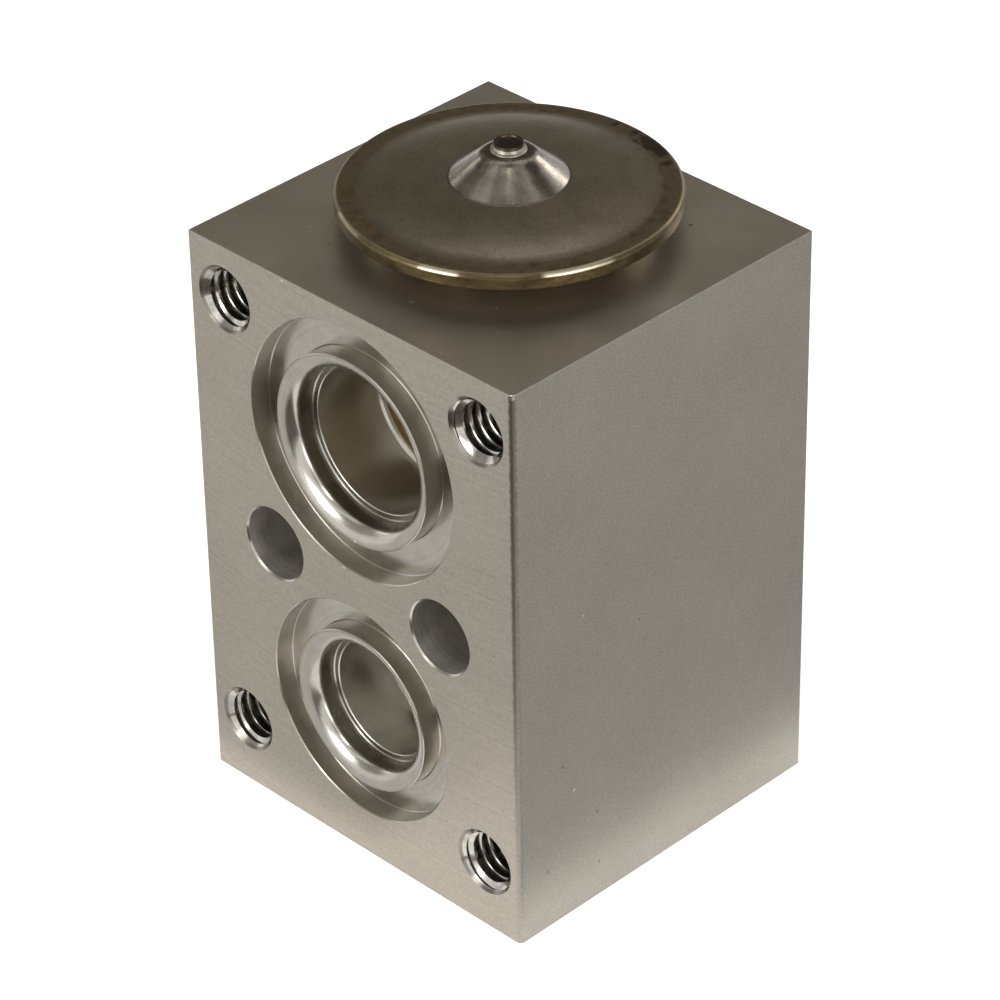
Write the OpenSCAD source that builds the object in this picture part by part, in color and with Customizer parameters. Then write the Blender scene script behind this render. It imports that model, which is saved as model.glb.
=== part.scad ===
// Block type thermostatic expansion valve.
// The origin is the middle of the block's base. The flanged ports face -Y and +Z is up.

/* [Block] */
// Width of the block across its port face
block_w = 40; // [38:0.5:60]
// Depth of the block from the port face to the back face
block_d = 37.4; // [35:0.2:60]
// Height of the block
block_h = 58.2; // [57:0.2:90]
// Bevel along every outer edge of the block
edge_break = 0.35; // [0.1:0.05:0.8]
// Distance of the upright valve axis behind the port face
axis_setback = 20; // [18.5:0.1:21.5]

/* [Suction passage] */
// Height of the suction port axis below the block's top face
suction_drop = 14.5; // [14:0.1:18]
// Diameter of the suction tube bores
suction_bore_d = 14.3; // [12:0.1:14.5]
// Depth of the front suction bore
suction_front_depth = 10.2; // [8:0.1:11]
// Depth of the back suction bore
suction_back_depth = 7.6; // [6:0.1:9]
// Diameter of the passage that crosses the valve axis
passage_d = 13; // [10:0.1:13.4]
// Diameter of the suction port's collar
suction_collar_d = 18.8; // [18.4:0.1:20]
// Diameter of the turned recess round the suction collar
suction_recess_d = 25.1; // [23:0.1:25.6]

/* [Liquid passage] */
// Height of the liquid port axis above the base
liquid_rise = 15.9; // [15.5:0.1:17]
// Diameter of the liquid tube bores
liquid_bore_d = 11.6; // [10.6:0.1:11.8]
// Depth of the liquid bores
liquid_bore_depth = 9; // [6:0.1:9.6]
// Diameter of the liquid port's collar
liquid_collar_d = 16.3; // [15.8:0.1:17.5]
// Diameter of the turned recess round the liquid collar
liquid_recess_d = 22.3; // [20:0.1:22.8]
// Diameter of the drilling from the front liquid bore to the ball chamber
inlet_hole_d = 4.4; // [3:0.1:4.8]
// Diameter of the drilling from the outlet chamber to the back liquid bore
outlet_hole_d = 4.6; // [3:0.1:4.8]
// Margin of both drillings inside the edge of the liquid bores
drill_margin = 0.1; // [0.05:0.05:0.4]

/* [Port faces] */
// Depth of the turned recess round each collar
recess_depth = 2.05; // [1:0.05:2.5]
// Bevel at the mouth of each recess
recess_break = 0.15; // [0.05:0.05:0.4]
// Radius of the rounded lead-in of each collar
lead_in_r = 1.2; // [0.6:0.1:1.3]
// Depth of the seal bore inside each collar
seal_bore_depth = 2.8; // [2:0.1:4]
// Width of the ledge between the seal bore and the tube bore
seal_ledge = 0.6; // [0.4:0.05:0.7]
// Bevel at the mouth of each tube bore
ledge_break = 0.15; // [0.05:0.05:0.3]

/* [Bolt holes] */
// Diameter of the two through holes
through_d = 7.2; // [6:0.1:7.6]
// Distance between the two through holes
through_pitch = 21.1; // [20.6:0.1:26]
// Height of the through holes below the top face
through_drop = 29; // [28.8:0.1:29.6]
// Major diameter of the four corner threads
thread_d = 6; // [5:0.1:6.4]
// Diameter of the corner threads' countersinks
thread_mouth_d = 6.4; // [6.4:0.1:7]
// Depth of the corner threads
thread_depth = 14; // [8:0.5:16]
// Distance between the corner threads across the face
thread_pitch_x = 31.2; // [31:0.1:33]
// Distance between the corner threads up the face
thread_pitch_z = 45.7; // [45:0.1:47]
// Height of the upper corner threads below the top face
thread_drop = 5.4; // [4.5:0.1:6]
// Bevel at the mouths of the through holes
hole_break = 0.2; // [0.05:0.05:0.5]

/* [Power head] */
// Outer diameter of the power head
head_d = 30.8; // [30:0.1:34]
// Height of the rim's lower edge above the block
rim_lift = 2.5; // [2.2:0.1:4]
// Thickness of the stamped covers
sheet_t = 0.6; // [0.4:0.05:0.8]
// Thickness of the diaphragm
diaphragm_t = 0.2; // [0.1:0.05:0.3]
// Wall of the rim that is rolled down round the lower cover
rolled_wall = 0.5; // [0.4:0.05:1]
// Radius of the rim's rounded upper edge
rim_r = 0.35; // [0.1:0.05:0.55]
// Width of the flat land inside the rim
land_w = 1.5; // [1:0.1:2]
// Width of the soft step from the land to the crown
step_w = 0.7; // [0.4:0.1:1.2]
// Height of the soft step
step_h = 0.35; // [0.1:0.05:0.6]
// Rise of the crown from the step to the foot of the cone
crown_rise = 0.68; // [0.2:0.02:1.2]
// Radius of the cone's foot
cone_foot_r = 5.35; // [4.6:0.05:7]
// Height of the cone
cone_h = 2.57; // [1.5:0.05:3.5]
// Slope of the cone in degrees
cone_slope = 39.6; // [35:0.2:46]
// Radius of the rounded shoulder on the cone
shoulder_r = 1.6; // [0.8:0.1:2]
// Outer radius of the lower cover's hub, where it sits on the block
hub_r = 10.5; // [10.2:0.1:11]
// Radius at which the lower cover's slope meets its flange
flange_inner_r = 12.6; // [12.2:0.1:13.2]
// Radius of the threaded neck
neck_r = 8; // [7.6:0.1:8.2]
// Wall of the threaded neck
neck_wall = 1.1; // [0.8:0.1:1.4]
// Length of the threaded neck below the block's top face
neck_len = 6; // [4:0.1:6.2]
// Depth of the neck's hole below the neck
neck_floor_gap = 0.3; // [0.1:0.05:0.5]
// Diameter of the head seal's section
head_seal_d = 1.7; // [1.2:0.1:1.8]

/* [Fill plug] */
// Radius of the plug's stem in the cover
plug_stem_r = 0.97; // [0.6:0.01:1.1]
// Radius of the plug's welded collar
plug_collar_r = 1.6; // [1.5:0.02:1.64]
// Height of the plug's collar
plug_collar_h = 0.22; // [0.1:0.02:0.4]
// Radius of the plug's head
plug_head_r = 1.37; // [1.25:0.01:1.45]
// Height of the plug's head above its collar
plug_head_h = 0.58; // [0.3:0.02:0.9]
// Radius of the pit in the plug's head
plug_pit_r = 1.15; // [0.6:0.01:1.2]
// Depth of the pit in the plug's head
plug_pit_depth = 0.2; // [0.1:0.02:0.3]

/* [Valve train] */
// Travel of the valve train from closed to fully open
stroke = 0.8; // [0.4:0.05:0.9]
// Radius of the stop plate under the diaphragm
stop_r = 9; // [8.5:0.1:9.4]
// Thickness of the stop plate
stop_t = 1; // [0.8:0.05:1.2]
// Radius of the stop plate's boss
stop_boss_r = 4.5; // [4:0.1:5.5]
// Length of the stop plate's boss
stop_boss_len = 3; // [2:0.1:4]
// Depth of the rod's socket above the foot of the boss
socket_depth = 3.1; // [1.5:0.1:3.4]
// Radius of the sensing rod
rod_r = 2.8; // [2.4:0.05:2.9]
// Wall of the nylon sleeve on the sensing rod
sleeve_wall = 1; // [0.5:0.1:1.1]
// Length of the nylon sleeve
sleeve_len = 10.5; // [6:0.1:11]
// Radius of the push pin
pin_r = 1.2; // [1:0.05:1.4]
// Radius of the push pin's tip
pin_tip_r = 0.8; // [0.5:0.05:0.9]
// Depth of the push pin's socket in the sensing rod
pin_socket = 2; // [1:0.1:3]
// Length of the push pin's tip
pin_tip_len = 3; // [2.6:0.1:3.4]
// Radius of the ball
ball_r = 2; // [1.8:0.05:2.2]
// Radius of the orifice that the ball closes
orifice_r = 1.5; // [1.3:0.05:1.6]
// Outer radius of the seat ring
seat_r = 4; // [3.6:0.1:4.3]
// Thickness of the seat ring
seat_t = 2; // [1.2:0.1:2.2]
// Radius of the outlet chamber above the seat ring
outlet_chamber_r = 3.2; // [2.6:0.1:3.4]
// Radius of the ball chamber
ball_chamber_r = 5; // [4.8:0.05:5.2]

/* [Rod guide] */
// Depth of the seal pocket below the suction passage
pocket_depth = 6.2; // [4:0.1:6.6]
// Section of the rod seal
rod_seal_d = 1.75; // [1.2:0.05:1.8]
// Thickness of the nylon washer on the rod seal
washer_t = 0.8; // [0.5:0.05:1.2]
// Thickness of the retaining ring
retainer_t = 0.4; // [0.3:0.05:0.8]
// Length of the push pin's own guide hole
pin_guide_len = 1.7; // [1:0.1:2.5]
// Height of the outlet chamber above the seat ring
outlet_chamber_h = 5.5; // [4.8:0.1:6]

/* [Ball carrier and springs] */
// Radius of the carrier's flange
flange_r = 3.6; // [3.2:0.05:3.8]
// Thickness of the carrier's flange
flange_t = 0.8; // [0.5:0.05:1]
// Radius of the carrier's cup
cup_r = 2.6; // [2.4:0.05:2.8]
// Height of the carrier's cup above its flange
cup_h = 1.2; // [1.1:0.05:1.4]
// Radius of the carrier's stem
stem_r = 2.4; // [1.8:0.05:2.45]
// Length of the carrier's stem
stem_len = 1.6; // [1:0.1:2]
// Thickness of the vibration spring's strip
strip_t = 0.2; // [0.15:0.05:0.3]
// Height of the vibration spring's legs
leg_h = 1.9; // [1.2:0.1:2.1]
// Width of each leg in degrees
leg_angle = 26; // [16:1:40]
// Diameter of the bias spring's wire
wire_d = 0.8; // [0.6:0.05:0.9]
// Mean radius of the bias spring
coil_r = 2.95; // [2.9:0.05:3.1]
// Number of turns of the bias spring
turns = 5.5; // [4:0.5:6]

/* [Adjusting screw] */
// Depth of the screw's foot inside the base
screw_recess = 0.8; // [0.3:0.1:1]
// Major radius of the screw's thread
screw_r = 6; // [5.6:0.1:6.4]
// Length of the screw's thread
screw_thread_len = 5.2; // [4:0.1:5.4]
// Length of the screw's plain spigot
spigot_len = 3; // [2.4:0.1:3.1]
// Radius of the spring's cup in the screw
screw_cup_r = 3.6; // [3.4:0.05:3.65]
// Thickness of the floor between the spring and the socket
screw_floor = 0.6; // [0.4:0.05:1]
// Width across flats of the hexagon socket
socket_af = 5; // [4:0.5:6]
// Depth of the hexagon socket
socket_h = 2.2; // [1.5:0.1:2.5]
// Section of the screw's seal
screw_seal_d = 0.85; // [0.6:0.05:0.95]

/* [Clearances] */
// Radial clearance of sliding pieces
slide_gap = 0.04; // [0.02:0.01:0.08]
// Radial clearance of pressed and threaded pieces
press_gap = 0.02; // [0.01:0.01:0.05]
// Clearance between the ball and what holds it
ball_gap = 0.02; // [0.01:0.01:0.04]
// Free depth below the end of the sensing rod at full travel
rod_end_gap = 0.2; // [0.1:0.05:0.5]

/* [Hidden] */
$fn = 96;

// Length by which cutting shapes run past the face that they cut
over = 1;

// Faces and axes of the block
front_y = -block_d / 2;
back_y = block_d / 2;
axis_y = front_y + axis_setback;
suction_z = block_h - suction_drop;
liquid_z = liquid_rise;
through_z = block_h - through_drop;
thread_top_z = block_h - thread_drop;
neck_hole_r = neck_r + press_gap;
neck_floor_z = block_h - neck_len - neck_floor_gap;
seal_groove_r = neck_hole_r + head_seal_d + 2 * press_gap;

// Rod guide and seal pocket
pocket_r = rod_r + 2 * slide_gap + rod_seal_d;
pocket_z = suction_z - passage_d / 2 - pocket_depth;
web_hole_r = rod_r + sleeve_wall + 4 * slide_gap;

// Liquid drillings, seat and chambers
inlet_z = liquid_z - liquid_bore_d / 2 + inlet_hole_d / 2 + drill_margin;
outlet_z = liquid_z + liquid_bore_d / 2 - outlet_hole_d / 2 - drill_margin;
seat_clear = 0.4;
seat_z = inlet_z + inlet_hole_d / 2 + seat_clear;
seat_top_z = seat_z + seat_t;
outlet_top_z = seat_top_z + outlet_chamber_h;
rod_hole_z = outlet_top_z + pin_guide_len;
rod_end_z = rod_hole_z + stroke + rod_end_gap;

// Ball and ball carrier
ball_z = seat_z - sqrt(ball_r * ball_r - orifice_r * orifice_r) - ball_gap;
cup_half_angle = 60;
cup_apex_z = ball_z - (ball_r + ball_gap) / sin(cup_half_angle);
cup_floor = 0.05;
flange_top_z = cup_apex_z - cup_floor;
flange_z = flange_top_z - flange_t;

// Power head, heights above the base
rim_z = block_h + rim_lift;
diaphragm_z = rim_z + sheet_t;
cover_z = diaphragm_z + diaphragm_t;
land_z = cover_z + sheet_t;
head_r = head_d / 2;
land_r = head_r - land_w;
step_r = land_r - step_w;
step_z = land_z + step_h;
foot_z = step_z + crown_rise;
crest_z = foot_z + cone_h;
clamp_r = head_r - rolled_wall - press_gap;
hub_top_z = block_h + sheet_t;
stop_z = hub_top_z + stroke;
stop_top_z = stop_z + stop_t;
boss_z = stop_z - stop_boss_len;
rod_top_z = boss_z + socket_depth;
plug_hole_r = plug_stem_r + press_gap;
neck_bore_r = neck_r - neck_wall;
slope_offset = sheet_t * 2 / 3;

// Adjusting screw
screw_z = screw_recess;
spigot_z = screw_z + screw_thread_len;
screw_top_z = spigot_z + spigot_len;
cup_floor_z = screw_z + socket_h + screw_floor;
spigot_r = ball_chamber_r - slide_gap;
groove_r = ball_chamber_r - screw_seal_d - press_gap;
groove_land = 0.6;
thread_relief = 0.5;

// Points of a circular arc about [cx, cz] from angle a0 to angle a1
function arc(cx, cz, r, a0, a1, n) =
    [for (i = [0 : n]) let (a = a0 + (a1 - a0) * i / n) [cx + r * cos(a), cz + r * sin(a)]];

// Points of a soft step that falls from [r0, z0] to [r1, z1]
function soft_step(r0, z0, r1, z1, n) =
    [for (i = [0 : n]) let (t = i / n) [r0 + (r1 - r0) * t, z0 + (z1 - z0) * (1 - cos(180 * t)) / 2]];

// Ring about the valve axis between two radii and two heights
module ring(r_in, r_out, z0, z1) {
    translate([0, axis_y, 0]) rotate_extrude()
        translate([r_in, z0]) square([r_out - r_in, z1 - z0]);
}

// Solid cylinder about the valve axis
module post(r, z0, z1) {
    translate([0, axis_y, z0]) cylinder(r = r, h = z1 - z0);
}

// Seal ring of round section about the valve axis
module seal(r_in, section_d, z0) {
    translate([0, axis_y, z0 + section_d / 2]) rotate_extrude()
        translate([r_in + section_d / 2, 0]) circle(d = section_d, $fn = 32);
}

// Profile turned about the valve axis
module turned(points) {
    translate([0, axis_y, 0]) rotate_extrude() polygon(points);
}

// Places what is drawn along +Z so that it runs into the front face at x, z
module into_front(x, z) {
    translate([x, front_y, z]) rotate([-90, 0, 0]) children();
}

// Places what is drawn along +Z so that it runs into the back face at x, z
module into_back(x, z) {
    translate([x, back_y, z]) rotate([90, 0, 0]) children();
}

// Box with bevelled edges, made from three crossing bevelled bars
module bevelled_box(w, d, h, b) {
    intersection() {
        linear_extrude(h) bevelled_rect(w, d, b);
        translate([0, d / 2, h / 2]) rotate([90, 0, 0]) linear_extrude(d) bevelled_rect(w, h, b);
        translate([-w / 2, 0, h / 2]) rotate([90, 0, 90]) linear_extrude(w) bevelled_rect(d, h, b);
    }
}

// Rectangle about the origin with its corners cut at 45 degrees
module bevelled_rect(a, c, b) {
    polygon([
        [b - a / 2, -c / 2], [a / 2 - b, -c / 2], [a / 2, b - c / 2], [a / 2, c / 2 - b],
        [a / 2 - b, c / 2], [b - a / 2, c / 2], [-a / 2, c / 2 - b], [-a / 2, b - c / 2]
    ]);
}

// Everything that is turned away at one port: the recess, the seal bore and the tube bore
module port_void(bore_d, bore_depth, collar_d, recess_d) {
    bore_r = bore_d / 2;
    seal_r = bore_r + seal_ledge;
    recess_r = recess_d / 2;
    rotate_extrude() {
        polygon([
            [collar_d / 2, -over], [recess_r + recess_break, -over],
            [recess_r + recess_break, 0], [recess_r, recess_break],
            [recess_r, recess_depth], [collar_d / 2, recess_depth]
        ]);
        polygon(concat(
            [[0, -over], [seal_r + lead_in_r, -over]],
            arc(seal_r + lead_in_r, lead_in_r, lead_in_r, 270, 180, 8),
            [
                [seal_r, seal_bore_depth], [bore_r + ledge_break, seal_bore_depth],
                [bore_r, seal_bore_depth + ledge_break], [bore_r, bore_depth], [0, bore_depth]
            ]
        ));
    }
}

// Through hole with a small bevel at both mouths
module through_hole() {
    r = through_d / 2;
    rotate_extrude() polygon([
        [0, -over], [r + hole_break, -over], [r + hole_break, 0], [r, hole_break],
        [r, block_d - hole_break], [r + hole_break, block_d], [r + hole_break, block_d + over],
        [0, block_d + over]
    ]);
}

// Blind corner thread at its major diameter, with a countersunk mouth and a drill point
module corner_hole() {
    r = thread_d / 2;
    mouth_r = thread_mouth_d / 2;
    rotate_extrude() polygon([
        [0, -over], [mouth_r, -over], [mouth_r, 0], [r, mouth_r - r],
        [r, thread_depth], [0, thread_depth + r / sqrt(3)]
    ]);
}

module valve_block() {
    color([0.62, 0.61, 0.59]) difference() {
        bevelled_box(block_w, block_d, block_h, edge_break);
        into_front(0, suction_z)
            port_void(suction_bore_d, suction_front_depth, suction_collar_d, suction_recess_d);
        into_back(0, suction_z)
            port_void(suction_bore_d, suction_back_depth, suction_collar_d, suction_recess_d);
        into_front(0, liquid_z)
            port_void(liquid_bore_d, liquid_bore_depth, liquid_collar_d, liquid_recess_d);
        into_back(0, liquid_z)
            port_void(liquid_bore_d, liquid_bore_depth, liquid_collar_d, liquid_recess_d);
        into_front(0, suction_z) cylinder(d = passage_d, h = block_d - suction_back_depth);
        into_front(0, inlet_z) cylinder(d = inlet_hole_d, h = axis_setback);
        into_back(0, outlet_z) cylinder(d = outlet_hole_d, h = block_d - axis_setback);
        for (side = [-1, 1]) {
            into_front(side * through_pitch / 2, through_z) through_hole();
            for (z = [thread_top_z, thread_top_z - thread_pitch_z])
                into_front(side * thread_pitch_x / 2, z) corner_hole();
        }
        // Stepped bore for the power head, from the top face down to the suction passage
        post(seal_groove_r, block_h - head_seal_d, block_h + over);
        post(neck_hole_r, neck_floor_z, block_h + over);
        post(web_hole_r, suction_z, block_h);
        // Seal pocket and rod guide between the suction passage and the outlet chamber
        post(pocket_r, pocket_z, suction_z);
        post(rod_r + slide_gap, rod_hole_z, suction_z);
        post(pin_r + slide_gap, outlet_top_z - over, rod_hole_z + over);
        // Outlet chamber, seat pocket, ball chamber and the adjusting screw's thread
        post(outlet_chamber_r, seat_z, outlet_top_z);
        post(seat_r + press_gap, seat_z - over, seat_top_z);
        post(ball_chamber_r, -over, seat_z);
        post(screw_r, -over, spigot_z);
    }
}

module lower_cover() {
    color([0.52, 0.48, 0.41]) turned([
        [neck_bore_r, block_h - neck_len], [neck_r, block_h - neck_len], [neck_r, block_h],
        [hub_r, block_h], [flange_inner_r, rim_z], [clamp_r, rim_z], [clamp_r, diaphragm_z],
        [flange_inner_r - slope_offset, diaphragm_z], [hub_r - slope_offset, hub_top_z],
        [neck_bore_r, hub_top_z]
    ]);
}

module diaphragm() {
    fold_r = flange_inner_r - slope_offset;
    top = soft_step(stop_r, stop_top_z + diaphragm_t, fold_r, cover_z, 12);
    bottom = soft_step(fold_r, diaphragm_z, stop_r, stop_top_z, 12);
    color([0.72, 0.71, 0.68]) turned(concat(
        [[0, stop_top_z], [0, stop_top_z + diaphragm_t]], top,
        [[clamp_r, cover_z], [clamp_r, diaphragm_z]], bottom
    ));
}

module upper_cover() {
    // The shoulder is tangent to the flat crest and to the cone
    half = tan(cone_slope / 2) * shoulder_r;
    corner_r = cone_foot_r - cone_h / tan(cone_slope);
    shoulder = arc(corner_r - half, crest_z - shoulder_r, shoulder_r, 90, 90 - cone_slope, 6);
    outside = concat(
        [[plug_hole_r, crest_z]], shoulder, [[cone_foot_r, foot_z]],
        soft_step(step_r, step_z, land_r, land_z, 6)
    );
    inside = [for (i = [len(outside) - 1 : -1 : 0]) outside[i] - [0, sheet_t]];
    color([0.50, 0.45, 0.37]) turned(concat(
        outside,
        arc(head_r - rim_r, land_z - rim_r, rim_r, 90, 0, 6),
        [[head_r, rim_z], [head_r - rolled_wall, rim_z], [head_r - rolled_wall, cover_z]],
        inside
    ));
}

module fill_plug() {
    color([0.40, 0.36, 0.30]) turned([
        [0, crest_z - 1.5 * sheet_t], [plug_stem_r, crest_z - 1.5 * sheet_t],
        [plug_stem_r, crest_z], [plug_collar_r, crest_z], [plug_collar_r, crest_z + plug_collar_h],
        [plug_head_r, crest_z + plug_collar_h],
        [plug_head_r, crest_z + plug_collar_h + plug_head_h],
        [plug_pit_r, crest_z + plug_collar_h + plug_head_h],
        [plug_pit_r, crest_z + plug_collar_h + plug_head_h - plug_pit_depth],
        [0, crest_z + plug_collar_h + plug_head_h - plug_pit_depth]
    ]);
}

module head_seal() {
    color([0.10, 0.10, 0.10]) seal(neck_hole_r + press_gap, head_seal_d, block_h - head_seal_d);
}

module stop_plate() {
    socket_r = rod_r + press_gap;
    color([0.66, 0.66, 0.64]) turned([
        [socket_r, boss_z], [stop_boss_r, boss_z], [stop_boss_r, stop_z], [stop_r, stop_z],
        [stop_r, stop_top_z], [0, stop_top_z], [0, rod_top_z], [socket_r, rod_top_z]
    ]);
}

module sensing_rod() {
    socket_r = pin_r + press_gap;
    color([0.70, 0.68, 0.62]) turned([
        [socket_r, rod_end_z], [rod_r, rod_end_z], [rod_r, rod_top_z], [0, rod_top_z],
        [0, rod_end_z + pin_socket], [socket_r, rod_end_z + pin_socket]
    ]);
}

module damping_sleeve() {
    color([0.86, 0.84, 0.78]) ring(
        rod_r + press_gap, rod_r + sleeve_wall,
        suction_z - sleeve_len / 2, suction_z + sleeve_len / 2
    );
}

module push_pin() {
    tip_z = ball_z + ball_r + ball_gap;
    taper = pin_r - pin_tip_r;
    color([0.74, 0.74, 0.75]) turned([
        [0, tip_z], [pin_tip_r, tip_z], [pin_tip_r, tip_z + pin_tip_len],
        [pin_r, tip_z + pin_tip_len + taper], [pin_r, rod_end_z + pin_socket],
        [0, rod_end_z + pin_socket]
    ]);
}

module rod_seal() {
    color([0.10, 0.10, 0.10]) seal(rod_r + slide_gap, rod_seal_d, pocket_z);
}

module seal_washer() {
    z = pocket_z + rod_seal_d;
    color([0.90, 0.89, 0.84]) ring(rod_r + slide_gap, pocket_r - press_gap, z, z + washer_t);
}

// Pressed ring with a notched edge that bites into the pocket's wall
module retaining_ring() {
    z = pocket_z + rod_seal_d + washer_t;
    teeth = 8;
    notch_r = 0.35;
    color([0.60, 0.60, 0.60]) difference() {
        ring(rod_r + 3 * slide_gap, pocket_r - press_gap, z, z + retainer_t);
        translate([0, axis_y, z - over])
            for (i = [0 : teeth - 1]) rotate(i * 360 / teeth)
                translate([pocket_r, 0, 0]) cylinder(r = notch_r, h = retainer_t + 2 * over);
    }
}

module seat_ring() {
    mouth = 0.3;
    color([0.70, 0.70, 0.70]) turned([
        [orifice_r, seat_z], [seat_r, seat_z], [seat_r, seat_top_z],
        [orifice_r + mouth, seat_top_z], [orifice_r, seat_top_z - mouth]
    ]);
}

module valve_ball() {
    color([0.78, 0.78, 0.80]) translate([0, axis_y, ball_z]) sphere(r = ball_r);
}

module ball_carrier() {
    cup_top_z = flange_top_z + cup_h;
    color([0.78, 0.62, 0.30]) turned([
        [0, flange_z - stem_len], [stem_r, flange_z - stem_len], [stem_r, flange_z],
        [flange_r, flange_z], [flange_r, flange_top_z], [cup_r, flange_top_z],
        [cup_r, cup_top_z], [(cup_top_z - cup_apex_z) * tan(cup_half_angle), cup_top_z],
        [0, cup_apex_z]
    ]);
}

// Ring on the carrier's flange with three bowed legs that rub on the ball chamber's wall
module vibration_spring() {
    legs = 3;
    leg_tip_angle = 60;
    base_z = flange_top_z;
    hub_in_r = cup_r + press_gap;
    leg_r = leg_h / 2;
    bow_x = ball_chamber_r - slide_gap - leg_r;
    bow_z = base_z + leg_r;
    open_angle = 360 / legs - leg_angle;
    color([0.68, 0.68, 0.70]) difference() {
        turned(concat(
            [[hub_in_r, base_z]], arc(bow_x, bow_z, leg_r, -90, leg_tip_angle, 8),
            arc(bow_x, bow_z, leg_r - strip_t, leg_tip_angle, -90, 8),
            [[hub_in_r, base_z + strip_t]]
        ));
        // Three openings leave the legs and trim the hub to the flange's radius
        translate([0, axis_y, base_z - over]) for (i = [0 : legs - 1])
            rotate(i * 360 / legs - open_angle / 2) rotate_extrude(angle = open_angle)
                translate([flange_r, 0]) square([ball_chamber_r, leg_h + 2 * over]);
    }
}

// Helical compression spring with closed end turns
module bias_spring() {
    wire_r = wire_d / 2;
    sides = 8;
    steps = 20 * turns;
    low_z = cup_floor_z + wire_r;
    rise = flange_z - wire_r - low_z;
    end_turn = 0.9;
    // Share of the rise that is reached at turn t, with flat end turns
    function climb(t) =
        let (free = turns - 2 * end_turn, u = (t - end_turn) / free)
        u <= 0 ? t / end_turn * wire_d / rise / 2
        : u >= 1 ? 1 - (turns - t) / end_turn * wire_d / rise / 2
        : wire_d / rise / 2 + u * (1 - wire_d / rise);
    points = [
        for (i = [0 : steps], k = [0 : sides - 1])
            let (t = i * turns / steps, a = 360 * t, b = 360 * k / sides, r = coil_r + wire_r * cos(b))
            [r * cos(a), r * sin(a), low_z + rise * climb(t) + wire_r * sin(b)]
    ];
    skin = [
        for (i = [0 : steps - 1], k = [0 : sides - 1])
            let (j = (k + 1) % sides)
            [i * sides + k, i * sides + j, (i + 1) * sides + j, (i + 1) * sides + k]
    ];
    ends = [
        [for (k = [sides - 1 : -1 : 0]) k],
        [for (k = [0 : sides - 1]) steps * sides + k]
    ];
    color([0.72, 0.72, 0.74]) translate([0, axis_y, 0])
        polyhedron(points = points, faces = concat(skin, ends));
}

// Hollow screw: the thread and socket below, the sealed spigot and the spring's cup above
module adjusting_screw() {
    groove_z = screw_top_z - groove_land - screw_seal_d;
    color([0.72, 0.60, 0.34]) difference() {
        turned([
            [0, screw_z], [screw_r - press_gap - thread_relief, screw_z],
            [screw_r - press_gap, screw_z + thread_relief], [screw_r - press_gap, spigot_z],
            [spigot_r, spigot_z], [spigot_r, groove_z], [groove_r, groove_z],
            [groove_r, groove_z + screw_seal_d], [spigot_r, groove_z + screw_seal_d],
            [spigot_r, screw_top_z], [screw_cup_r, screw_top_z], [screw_cup_r, cup_floor_z],
            [0, cup_floor_z]
        ]);
        translate([0, axis_y, screw_z - over])
            cylinder(d = socket_af / cos(30), h = socket_h + over, $fn = 6);
    }
}

module screw_seal() {
    groove_z = screw_top_z - groove_land - screw_seal_d;
    color([0.10, 0.10, 0.10]) seal(groove_r + press_gap / 2, screw_seal_d, groove_z);
}

valve_block();
lower_cover();
diaphragm();
upper_cover();
fill_plug();
head_seal();
stop_plate();
sensing_rod();
damping_sleeve();
push_pin();
rod_seal();
seal_washer();
retaining_ring();
seat_ring();
valve_ball();
ball_carrier();
vibration_spring();
bias_spring();
adjusting_screw();
screw_seal();
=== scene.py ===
import math

import bpy
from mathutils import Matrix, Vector


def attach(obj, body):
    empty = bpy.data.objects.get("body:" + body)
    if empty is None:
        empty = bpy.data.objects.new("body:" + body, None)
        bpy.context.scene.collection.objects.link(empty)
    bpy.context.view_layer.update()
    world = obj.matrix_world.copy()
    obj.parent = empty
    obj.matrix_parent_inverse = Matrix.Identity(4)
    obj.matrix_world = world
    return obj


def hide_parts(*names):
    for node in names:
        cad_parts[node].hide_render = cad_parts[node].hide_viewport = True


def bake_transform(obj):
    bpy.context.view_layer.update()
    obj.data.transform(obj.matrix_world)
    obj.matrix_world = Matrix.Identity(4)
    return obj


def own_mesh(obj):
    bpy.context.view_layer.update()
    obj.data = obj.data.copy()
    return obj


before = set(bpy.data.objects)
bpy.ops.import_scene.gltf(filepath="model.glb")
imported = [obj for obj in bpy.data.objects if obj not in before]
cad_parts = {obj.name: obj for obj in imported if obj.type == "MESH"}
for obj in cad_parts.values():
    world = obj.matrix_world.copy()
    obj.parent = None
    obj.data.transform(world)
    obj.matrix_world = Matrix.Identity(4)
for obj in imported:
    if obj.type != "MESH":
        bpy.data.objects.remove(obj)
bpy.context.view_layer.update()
bpy.context.scene.view_settings.view_transform = "Standard"

# The camera stands above the front right corner, some 0.4 m away, and looks down on three faces
# of the block. Its place, turn and lens come from the block's seven corners in the photograph.
bpy.ops.object.camera_add(
    location=(0.24574506, -0.24329209, 0.26048438),
    rotation=(0.98235016, 0.01509692, 0.78145348),
)
camera = bpy.context.object
camera.data.sensor_width = 36
camera.data.lens = 164.432
bpy.context.scene.camera = camera


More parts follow.
